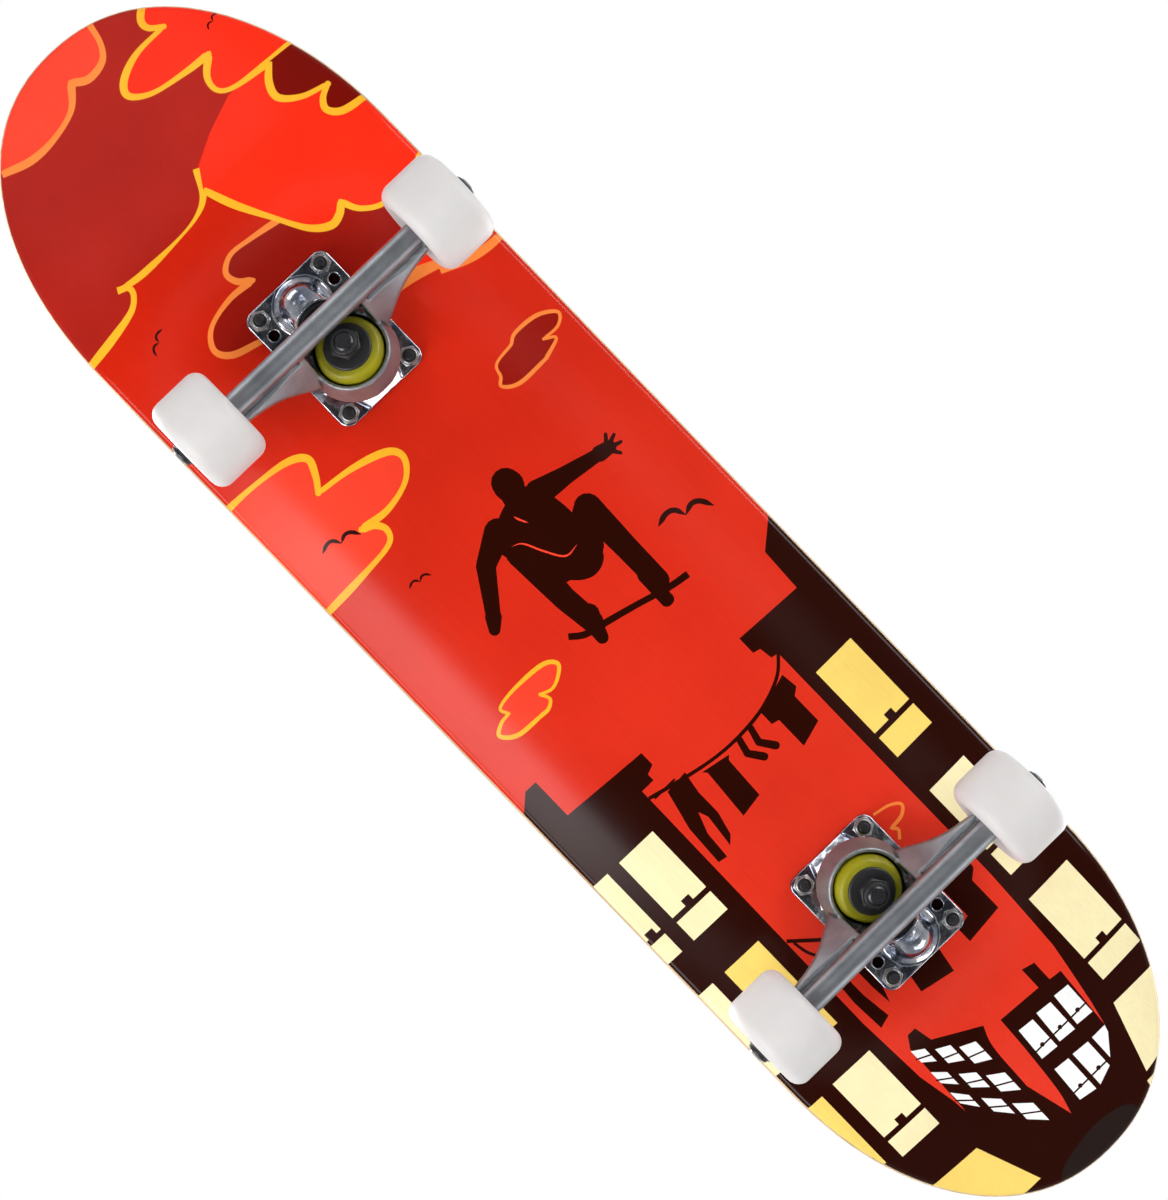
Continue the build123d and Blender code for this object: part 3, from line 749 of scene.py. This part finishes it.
def bird(x, y, span, turn):
    """Two bent wings."""
    shapes = []
    for side in (1, -1):
        wing = curve([(0, 0), (0.15, side * 0.16), (0.14, side * 0.34), (-0.02, side * 0.54)])
        placed = [
            (
                x + span * (px * math.cos(turn) - py * math.sin(turn)),
                y + span * (px * math.sin(turn) + py * math.cos(turn)),
            )
            for px, py in wing
        ]
        shapes += stroke("wall", placed, span * 0.10, taper=0.1, fade=True)
    return shapes


def limb(points, widths):
    """A tapering arm or leg through the points, with round joints."""
    ends = zip(points, points[1:], widths, widths[1:])
    shapes = [bar("wall", start, end, first, last) for start, end, first, last in ends]
    shapes += [dot("wall", x, y, width / 2) for (x, y), width in zip(points, widths)]
    return shapes


def rider():
    """A plain silhouette of someone crouched over a board in mid-air, head towards the nose."""
    shapes = []
    body = [(58, 20), (61, 8), (56, -6), (48, -14), (38, -13), (26, -8), (10, 2), (4, 12), (8, 22)]
    body += [(22, 25), (42, 25)]
    shapes.append(("wall", curve(body, True)))
    shapes += limb([(58, 10), (65, 12)], [13, 14])
    shapes += limb([(66, 12), (68, 12)], [16, 15])
    shapes += limb([(53, -8), (45, -24), (24, -39)], [14, 10, 7.5])
    shapes += limb([(24, -39), (19, -43)], [8.5, 6])
    shapes += limb([(53, 20), (50, 36), (46, 56)], [14, 9.5, 6.5])
    shapes += limb([(46, 56), (45, 62)], [8.5, 7])
    for reach in ((39, 64), (43, 68), (48, 68), (51, 65)):
        shapes += limb([(45, 60), reach], [3.0, 1.8])
    shapes += limb([(20, 4), (38, -7), (6, -7), (-12, -5)], [20, 15, 12, 11])
    shapes += limb([(18, 18), (31, 33), (2, 33), (-20, 33)], [20, 14, 12, 11.5])
    shapes += limb([(-8, -4), (-21, -7)], [11.5, 6.5])
    shapes += limb([(-14, 32), (-30, 29)], [12, 6.5])
    board = curve([(-9, -19), (-14, -12), (-17, 0), (-21, 16), (-26, 34), (-28, 46)])
    shapes += stroke("wall", board, 3.6, taper=0.1)
    shapes += [dot("wall", -20, -7, 3.2), dot("wall", -30, 30, 3.2)]
    # Two light creases that part the arm and the leg from the body
    for crease in ([(21, 16), (21, 8), (30, 2), (40, -3), (43, -8)], [(46, 6), (50, 4), (53, 3)]):
        shapes += stroke("rose", curve(crease), 1.0, taper=0.1, fade=True)
    return shapes


def window(colour, x0, x1, y0, y1, split):
    """Two panes with a bar between them and a latch on it."""
    middle = (y0 + y1) / 2
    return [
        pane(colour, x0, split - 1.5, y0, y1),
        pane(colour, split + 1.5, x1, y0, y1),
        pane("wall", split - 0.5, split + 5.0, middle - 2.6, middle + 2.6),
    ]


def street_shapes():
    shapes = []
    # The row of houses on the right rail, from the gable by the open sky to the tail
    row = [(-60, -99), (-50, -88), (-50, -81), (-73, -81), (-76, -33), (-84, -33), (-86, -38), (-90, -38)]
    row += [(-90, -46), (-250, -47), (-290, -45), (-312, -41), (-345, -38), (-400, -18), (-400, -99)]
    shapes.append(("wall", row))
    # The row on the left rail
    row = [(-33, 99), (-47, 82), (-71, 81), (-69, 42), (-79, 42), (-80, 46), (-87, 47), (-88, 51)]
    row += [(-240, 51), (-290, 49), (-325, 44), (-400, 30), (-400, 99)]
    shapes.append(("wall", row))
    windows = [
        ("glow", -162, -108, -79, -56, -148),
        ("amber", -241, -184, -79, -56, -226),
        ("glow", -315, -262, -79, -54, -302),
        ("glow", -162, -108, -98, -87, -148),
        ("glow", -240, -184, -98, -87, -226),
        ("amber", -303, -263, -98, -87, -310),
        ("amber", -167, -108, 58, 83, -152),
        ("glow", -249, -190, 58, 83, -233),
        ("glow", -322, -264, 56, 84, -308),
    ]
    for place in windows:
        shapes += window(*place)
    # Windows round the tail
    shapes.append(("amber", [(-339, -49), (-338, -80), (-362, -70), (-376, -50), (-376, -36)]))
    shapes.append(("glow", [(-335, 52), (-336, 82), (-356, 76), (-372, 60), (-375, 41)]))
    shapes.append(("glow", [(-379, 38), (-379, 60), (-392, 40), (-389, 32)]))
    # The end of the street: two crooked houses, with a wedge of sky between them
    houses = [(-400, 36), (-345, 41), (-302, 43), (-301, 36), (-289, 36), (-287, 29), (-300, 29)]
    houses += [(-298, 3), (-294, -4), (-280, -28), (-270, -30), (-270, -35), (-276, -39), (-312, -40)]
    shapes.append(("wall", houses + [(-345, -41), (-400, -18)]))
    wedge = [(-362, -2), (-348, 1), (-322, 3), (-298, 4, 1), (-293, -4, 1), (-306, -8), (-334, -9)]
    shapes.append(("sky", curve(wedge)))
    # A painted haze: a greyer patch in the shade ink over the tail's tip, for reflected light
    painted_haze = [(-400, 26), (-382, 24), (-376, 6), (-378, -14), (-384, -28), (-400, -30)]
    shapes.append(("shade", curve(painted_haze)))
    for row in range(3):
        for column in range(3):
            x = -356 + column * 23 + row * (16 - 3 * column)
            y = -12.5 - row * 10.5
            wide, tall, lean = 13 - 2 * row, 8 - row, 8 - 2 * column
            middle = x + wide * 0.45
            foot = [(x, y), (x + wide, y)]
            shapes.append(("white", foot + [(x + wide + lean, y - tall), (x + 1 + lean, y - tall)]))
            shapes.append(bar("wall", (middle, y + 1), (middle + lean, y - tall - 1), 0.9))
    for row in range(3):
        y = 6 + row * 12.5
        shapes.append(("white", [(-329, y), (-309, y + 1), (-310, y + 10), (-330, y + 10)]))
        shapes.append(bar("wall", (-324, y - 1), (-324, y + 11), 1.0))
        shapes.append(dot("wall", -323.5, y + 5, 1.4, 6))
    shapes.append(("white", [(-360, 6), (-338, 7), (-339, 16), (-362, 16)]))
    shapes.append(("white", [(-362, 19), (-339, 19), (-340, 29), (-358, 29)]))
    shapes.append(("white", [(-355, 32), (-340, 32), (-340, 41), (-344, 40)]))
    shapes.append(bar("wall", (-355, 5), (-355, 30), 1.0))
    shapes += [dot("wall", -354.5, 11, 1.4, 6), dot("wall", -354.5, 24, 1.4, 6)]
    return shapes


def washing_shapes():
    """Lines across the street with clothes on them."""
    shapes = []
    line = curve([(-95, -46), (-99, -30), (-103, -10), (-104, 8), (-102, 26), (-96, 42), (-87, 52)])
    shapes += stroke("wall", line, 2.0, taper=0.1)
    shapes += stroke("wall", curve([(-97, -30), (-97, -44)]), 1.2, taper=0.1)
    # Trousers, a towel, socks and a shirt
    trousers = [(-98, -24), (-110, -26), (-124, -26), (-136, -29), (-140, -33), (-122, -31), (-117, -33)]
    trousers += [(-128, -37), (-143, -38), (-142, -43), (-120, -42), (-99, -37)]
    shapes.append(("wall", trousers))
    shapes.append(("wall", [(-107, -2), (-109, -4), (-132, -5), (-134, -18), (-106, -16), (-104, -18)]))
    for y in (14, 6):
        shapes += limb([(-105, y + 1), (-113, y - 1), (-120, y + 4)], [3.4, 3.8, 4.2])
    shirt = [(-97, 45), (-106, 46), (-109, 42), (-126, 42), (-130, 28), (-112, 28), (-111, 24), (-103, 24)]
    shapes.append(("wall", shirt))
    # The second line, by the rear truck
    shapes += stroke("wall", curve([(-194, -46), (-202, -37), (-210, -28)]), 2.0, taper=0.1)
    shapes += stroke("wall", curve([(-197, -44), (-206, -42), (-216, -36)]), 1.6, taper=0.1)
    clothes = [
        [(-224, -26), (-240, -26), (-252, -30), (-240, -31), (-224, -31)],
        [(-224, -37), (-240, -37), (-256, -35), (-258, -42), (-240, -43), (-224, -42)],
        [(-240, 8), (-263, 4), (-259, -15), (-240, -12)],
        [(-226, 48), (-233, 47), (-237, 42), (-256, 42), (-258, 20), (-250, 20), (-248, 28), (-226, 28)],
    ]
    shapes += [("wall", cloth) for cloth in clothes]
    puff = [(-197, 30), (-193, 33), (-190, 31, 1), (-189, 39), (-185, 43), (-181, 38), (-179, 29)]
    shapes += stroke("orange", curve(puff), 1.8)
    return shapes


def make_print():
    """The printed underside of the lowest veneer, as crisp areas of ink."""
    shapes = sky_shapes() + street_shapes() + washing_shapes() + rider()
    # Painted shade: dark dots on the print behind the base plates' spare holes, so that the holes look dark
    for end, side in (("front", 1), ("rear", -1)):
        plate = plate_middle(end, side)
        for y in (-BOLT_SPACING_Y / 2, BOLT_SPACING_Y / 2):
            shapes.append(dot("wall", plate + side * SPARE_HOLE_X, y, SPARE_HOLE_RADIUS, 12))
    birds = [(-6, 66, 28, 0.4), (62, -53, 12, 0.2), (103, -68, 20, 0.3), (238, -64, 13, -0.6)]
    birds.append((343, 70, 10, -0.4))
    for place in birds:
        shapes += bird(*place)
    contours = [outline(inset) for inset in (1.4, 2.0, 2.7, EDGE_ROUND)]
    lines = [points for _, points in shapes] + contours
    flat, triangles = filled(outline(PRINT_EDGE), lines, bolt_rings(BOLT_HOLE), PRINT_SPACING)
    middles = flat[triangles].mean(axis=1)
    shades = list(INKS)
    paints = np.zeros(len(triangles), int)
    for colour, points in shapes:
        paints[within(middles, points)] = shades.index(colour)
    used, triangles = np.unique(triangles, return_inverse=True)
    triangles = triangles.reshape(-1, 3)

    def height_at(x, y):
        return deck_height(x, y, round_over(inset_of(x, y)))

    x, y = flat[used, 0], flat[used, 1]
    vertices = np.column_stack([x, y, height_at(x, y)]) * MM
    made = piece("deck_print", vertices, [[int(v) for v in face[::-1]] for face in triangles])
    for shade, colour in INKS.items():
        made.data.materials.append(printed(shade, colour))
    made.data.polygons.foreach_set("material_index", [int(paint) for paint in paints])
    made.data.shade_smooth()
    step = 0.05
    slope_x = (height_at(x + step, y) - height_at(x - step, y)) / (2 * step)
    slope_y = (height_at(x, y + step) - height_at(x, y - step)) / (2 * step)
    normals = np.column_stack([slope_x, slope_y, -np.ones(len(x))])
    normals /= np.linalg.norm(normals, axis=1)[:, None]
    made.data.normals_split_custom_set_from_vertices([tuple(n) for n in normals])
    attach(made, "deck")


# ---------------- turned pieces


def rounded(corners, steps=6):
    """A closed outline of (radius, height, rounding) corners, with each corner turned by its rounding."""
    line = []
    for i, (r, z, turn) in enumerate(corners):
        corner = np.array((r, z))
        if not turn:
            line.append(tuple(corner))
            continue
        before = np.array(corners[i - 1][:2]) - corner
        after = np.array(corners[(i + 1) % len(corners)][:2]) - corner
        start = corner + before / np.linalg.norm(before) * turn
        end = corner + after / np.linalg.norm(after) * turn
        centre = start + end - corner
        for step in range(steps + 1):
            angle = math.pi / 2 * step / steps
            turned = (start - centre) * math.cos(angle) + (end - centre) * math.sin(angle)
            line.append(tuple(centre + turned))
    return line


def axis_frame(point, direction):
    """A frame at the point, in millimetres, whose Z runs along the direction."""
    turn = Vector(direction).to_track_quat("Z", "Y").to_matrix().to_4x4()
    return Matrix.Translation(Vector(point) * MM) @ turn @ Matrix.Scale(MM, 4)


def lathe(name, outline_points, place, material, turns=96):
    """Turns a closed outline of (radius, height) points about the frame's Z."""
    count = len(outline_points)
    vertices = []
    faces = []
    for turn in range(turns):
        angle = 2 * math.pi * turn / turns
        for r, z in outline_points:
            vertices.append(place @ Vector((r * math.cos(angle), r * math.sin(angle), z)))
        for i in range(count):
            j = (i + 1) % count
            a, b = turn * count, (turn + 1) % turns * count
            faces.append([a + i, b + i, b + j, a + j])
    return finished(piece(name, vertices, faces, material))


def truck_frame(end):
    """The middle of the hanger's ring, in millimetres, and the kingpin's direction towards the road."""
    joint = next(j for j in frame["joints"] if j["name"] == f"{end}_steer")
    ring = Vector(joint["pos_m"]) / MM
    facing = 1 if end == "front" else -1
    down = Vector((facing * math.sin(KINGPIN_TILT), 0, -math.cos(KINGPIN_TILT)))
    return ring, down


def make_bushings(end, material):
    """The two urethane cones on the kingpin."""
    ring, down = truck_frame(end)
    bore = KINGPIN_RADIUS + BUSHING_GAP
    for name, way, tall in (("deck_side", -1, DECK_BUSHING), ("road_side", 1, ROAD_BUSHING)):
        base = ring + down * way * RING_HALF
        wide = [(bore, END_GAP, 0.4), (BUSHING_RADIUS, END_GAP, 1.3), (BUSHING_RADIUS, tall * 0.4, 2.4)]
        narrow = [(BUSHING_NECK, tall - END_GAP, 1.6), (bore, tall - END_GAP, 0.4)]
        profile = rounded(wide + narrow)
        made = lathe(f"{end}_{name}_urethane", profile, axis_frame(base, down * way), material)
        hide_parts(f"{end}_{name}_bushing")
        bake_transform(made)


def make_wheel(end, hand, material):
    """A cast wheel with a seat for a bearing in each side."""
    low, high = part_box(f"{end}_{hand}_wheel")
    middle = (low + high) / 2 / MM
    half = (high.y - low.y) / 2 / MM
    radius = (high.z - low.z) / 2 / MM
    side = [(radius, half, WHEEL_ROUNDING), (HUB_RADIUS, half, 1.6), (12.6, HUB_FLOOR, 0.8)]
    side += [(RACE_SEAT, RACE_FACE, 0.3), (RACE_SEAT, RACE_STOP, 0), (SPACER_BORE, RACE_STOP, 0.3)]
    profile = rounded(side + [(r, -z, turn) for r, z, turn in reversed(side)])
    made = lathe(f"{end}_{hand}_tyre", profile, axis_frame(middle, (0, 1, 0)), material, 128)
    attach(made, f"{end}_{hand}_wheel")
    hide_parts(f"{end}_{hand}_wheel")


def make_inserts(material):
    """The nylon rings that keep the lock nuts from loosening."""

    def insert(name, place, bore, rim, body):
        profile = rounded([(bore, -0.6, 0), (rim, -0.6, 0), (rim, 0.12, 0.15), (bore, 0.3, 0.25)], 3)
        made = lathe(name, profile, place, material, 32)
        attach(made, body)

    nut_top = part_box("truck_nuts")[0].z / MM
    for number, (x, y) in enumerate(bolt_places(), 1):
        insert(f"truck_nut_insert_{number}", axis_frame((x, y, nut_top), (0, 0, -1)), 2.42, 3.5, "deck")
    for end in ENDS:
        ring, down = truck_frame(end)
        insert(f"{end}_kingpin_insert", axis_frame(ring + down * KINGPIN_NUT_TOP, down), 4.78, 6.0, "deck")
        low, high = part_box(f"{end}_axle")
        middle = (low + high) / 2 / MM
        for hand, side in (("left", 1), ("right", -1)):
            place = axis_frame((middle.x, side * AXLE_NUT_TOP, middle.z), (0, side, 0))
            insert(f"{end}_{hand}_axle_insert", place, 4.0, 5.2, f"{end}_truck")


# ---------------- stage


def soft_panel(name, place, target, size, radiance, lights=True, shows=True):
    """A bright rectangle, sized in metres, that lights the board, shows in its gloss, or both."""
    data = bpy.data.lights.new(name, "AREA")
    data.shape = "RECTANGLE"
    data.size, data.size_y = size
    data.energy = radiance * size[0] * size[1] * AREA_POWER
    lamp = bpy.data.objects.new(name, data)
    lamp.visible_diffuse = lights
    lamp.visible_glossy = shows
    lamp.location = place
    lamp.rotation_mode = "QUATERNION"
    lamp.rotation_quaternion = (Vector(target) - Vector(place)).to_track_quat("-Z", "Y")
    bpy.context.scene.collection.objects.link(lamp)
    return lamp


def make_floor():
    """A pale floor that glows, dimmed near the board by a painted shadow, and is clear from below so that the
    board shows.
    """
    floor = piece("floor", [(-6, -6, 0), (6, -6, 0), (6, 6, 0), (-6, 6, 0)], [[0, 1, 2, 3]])
    material = bpy.data.materials.new("floor")
    paint = Nodes(material)
    paint.tree.nodes.remove(paint.tree.nodes["Principled BSDF"])
    # Painted shadow: ambient occlusion darkens the floor's glow near the board
    painted_shadow = paint.node("ShaderNodeAmbientOcclusion", samples=12)
    painted_shadow.inputs["Distance"].default_value = 0.35
    glow = paint.node("ShaderNodeEmission")
    paint.link(paint.ramp(painted_shadow.outputs["AO"], (0.15, 0.36), (0.95, 0.86)), glow.inputs["Color"])
    back = paint.node("ShaderNodeNewGeometry").outputs["Backfacing"]
    clear = paint.node("ShaderNodeBsdfTransparent")
    paint.choose(back, glow.outputs[0], clear.outputs[0], "Material Output")
    floor.data.materials.append(material)
    floor.visible_shadow = False
    floor.visible_glossy = False
    floor.visible_diffuse = False


def make_world():
    """A white backdrop, with a dimmer room behind it for the board to reflect."""
    world = bpy.data.worlds.new("studio")
    sky = Nodes(world)
    room = sky.tree.nodes["Background"]
    height = sky.axis(sky.node("ShaderNodeTexCoord").outputs["Generated"], "Z")
    # Nearly black straight down, with a bright ring round that for the polished castings to pick up
    greys = [(0.0, 0.03), (0.018, 0.04), (0.030, 0.60), (0.050, 0.60)]
    greys += [(0.066, 0.07), (0.20, 0.10), (0.36, 0.34), (1.0, 0.85)]
    sky.link(sky.ramp(sky.span(height, -1.0, 1.0), *greys), room.inputs["Color"])
    backdrop = sky.node("ShaderNodeBackground")
    backdrop.inputs["Color"].default_value = (1, 1, 1, 1)
    seen = sky.node("ShaderNodeLightPath").outputs["Is Camera Ray"]
    sky.choose(seen, room.outputs[0], backdrop.outputs[0], "World Output")
    bpy.context.scene.world = world


# The camera stands 1.5 m below the deck and looks up at it, with the nose to the upper left of its view
CAMERA_PLACE = (0.0121, -0.0709, -1.4186)
FOCAL = 90.16
BOARD_ANGLE = math.radians(46.075)  # between the board and the frame's sides
CAMERA_PITCH = math.radians(1.498)
CAMERA_YAW = math.radians(-2.289)


def make_camera():
    data = bpy.data.cameras.new("camera")
    data.lens = FOCAL
    data.sensor_width = 36.0
    data.clip_start = 0.05
    camera = bpy.data.objects.new("camera", data)
    right = Vector((-math.cos(BOARD_ANGLE), math.sin(BOARD_ANGLE), 0))
    up = Vector((math.sin(BOARD_ANGLE), math.cos(BOARD_ANGLE), 0))
    turn = Matrix((right, up, right.cross(up))).transposed()
    turn = turn @ Matrix.Rotation(CAMERA_PITCH, 3, "X") @ Matrix.Rotation(CAMERA_YAW, 3, "Y")
    camera.matrix_world = Matrix.Translation(CAMERA_PLACE) @ turn.to_4x4()
    bpy.context.scene.collection.objects.link(camera)
    bpy.context.scene.camera = camera


def make_lights():
    board = (0, 0, 0.08)
    # Four panels low round the board light its underside from the sides
    soft_panel("below_right", (0.0, -1.45, -0.75), board, (1.6, 0.7), 4.7)
    soft_panel("below_left", (0.0, 1.45, -0.75), board, (1.6, 0.7), 4.2)
    soft_panel("below_nose", (1.65, 0.0, -0.75), board, (1.2, 0.6), 3.8, shows=False)
    soft_panel("below_tail", (-1.65, 0.0, -0.75), board, (1.2, 0.6), 3.2, shows=False)
    # Two more show in the castings alone
    castings = bpy.data.collections.new("castings")
    for name, thing in frame["nodes"].items():
        if name.endswith(tuple(SMOOTHED)):
            castings.objects.link(thing)
    for name, x in (("glint_nose", 1.8), ("glint_tail", -1.8)):
        glint = soft_panel(name, (x, 0.0, -0.22), board, (1.3, 0.5), 2.6, lights=False)
        glint.light_linking.receiver_collection = castings
    # A small one close by shows as the sheen along the right rail
    soft_panel("sheen", (0.02, -0.72, -1.15), (0.02, 0, 0.08), (0.50, 0.36), 4.8)
    # Two more light the deck's top
    soft_panel("above_right", (0.9, -1.1, 1.7), board, (1.2, 1.2), 5.0)
    soft_panel("above_left", (-1.3, 1.0, 1.4), board, (1.4, 1.4), 2.4)


# ---------------- CAD pieces


# The castings, with the voxel size in metres that their edges are softened at
SMOOTHED = {"hanger": 0.0006, "baseplate": 0.0005}


def dress_cad(materials):
    """Gives each CAD node its finish, and softens the castings' edges."""
    slots = {part["node"]: part["material_slot"] for part in frame["record"]["subparts"]}
    for name, thing in frame["nodes"].items():
        slot = slots[name]
        material = materials["maple_long"] if "maple" in slot else materials[slot]
        thing.data.materials.clear()
        thing.data.materials.append(material)
        for kind, voxel in SMOOTHED.items():
            if name.endswith(kind):
                soften(thing, voxel)


def soften(thing, voxel):
    """Rounds a casting's edges."""
    remesh = thing.modifiers.new("cast", "REMESH")
    remesh.mode = "VOXEL"
    remesh.voxel_size = voxel
    remesh.use_smooth_shade = True
    relax = thing.modifiers.new("relax", "SMOOTH")
    relax.factor = 0.6
    relax.iterations = 8


# ---------------- the whole scene

bpy.context.scene.view_settings.view_transform = "Standard"
make_world()
make_floor()
make_camera()
make_lights()
MATERIALS = make_materials()
dress_cad(MATERIALS)
for number in range(1, PLIES + 1):
    make_ply(number, MATERIALS["maple_cross" if number in (3, 5) else "maple_long"])
make_print()
for end in ENDS:
    make_bushings(end, MATERIALS["bushing_urethane"])
    for hand in HANDS:
        make_wheel(end, hand, MATERIALS["wheel_urethane"])
make_inserts(MATERIALS["pivot_rubber"])
